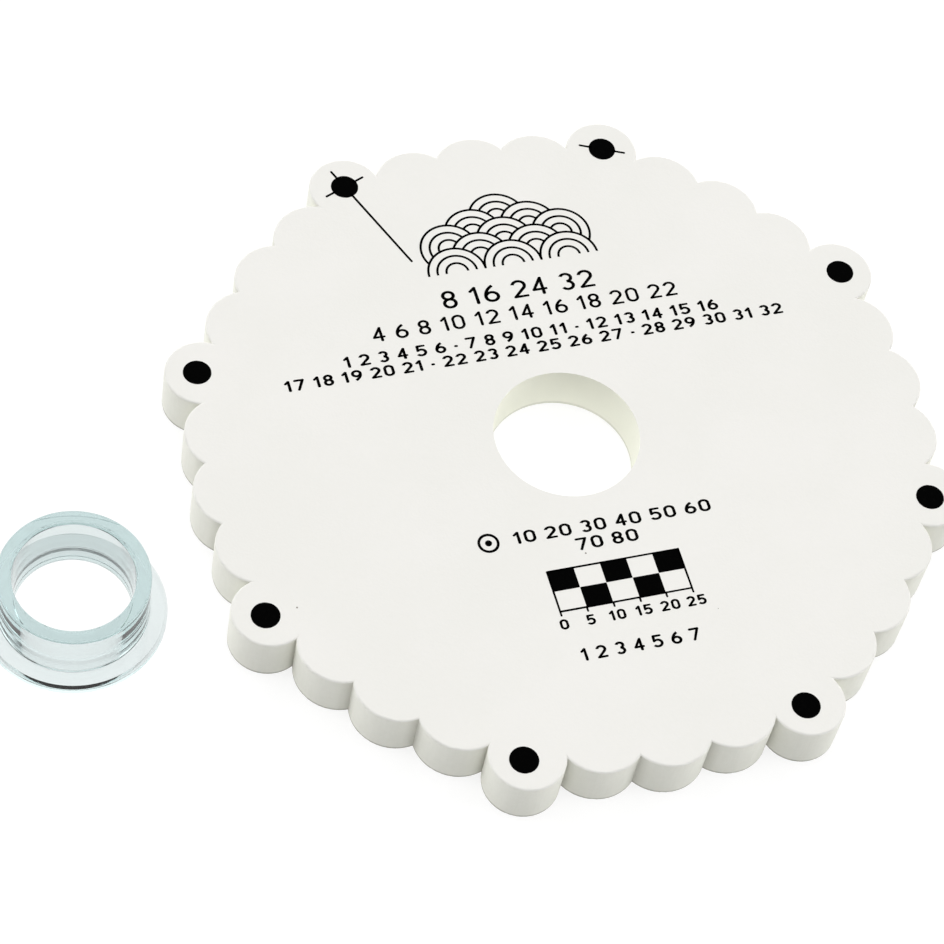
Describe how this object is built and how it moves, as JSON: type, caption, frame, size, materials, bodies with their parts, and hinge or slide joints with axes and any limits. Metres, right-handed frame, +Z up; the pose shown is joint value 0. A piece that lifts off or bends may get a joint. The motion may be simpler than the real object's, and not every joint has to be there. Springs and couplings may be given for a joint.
{
  "type": "kumihimo disk",
  "caption": "Round foam braiding board with a scalloped edge that holds threads in notches, longer lobes with start dots, a centre hole, and a clear flanged ring that lines the hole.",
  "frame": {"origin": "on the axis of the centre hole, at the board's underside, which is the surface that the part stands on", "axes": "+Z up along the hole's axis, out of the printed face; +X through the middle of a lobe, with the picture taken from the -Y side; the ring stands beside the board at lower left"},
  "size_m": [0.1746, 0.15, 0.012],
  "materials": {
    "foam": "matte",
    "clear_plastic": "gloss",
    "ink": "matte"
  },
  "bodies": {
    "board": {"foam_disk": "foam"},
    "ring": {"guide_ring": "clear_plastic"}
  },
  "joints": [
    {"name": "ring_lift", "type": "slide", "parent": "board", "child": "ring", "axis": [0, 0, 1], "range_m": [0, 0.03]}
  ]
}
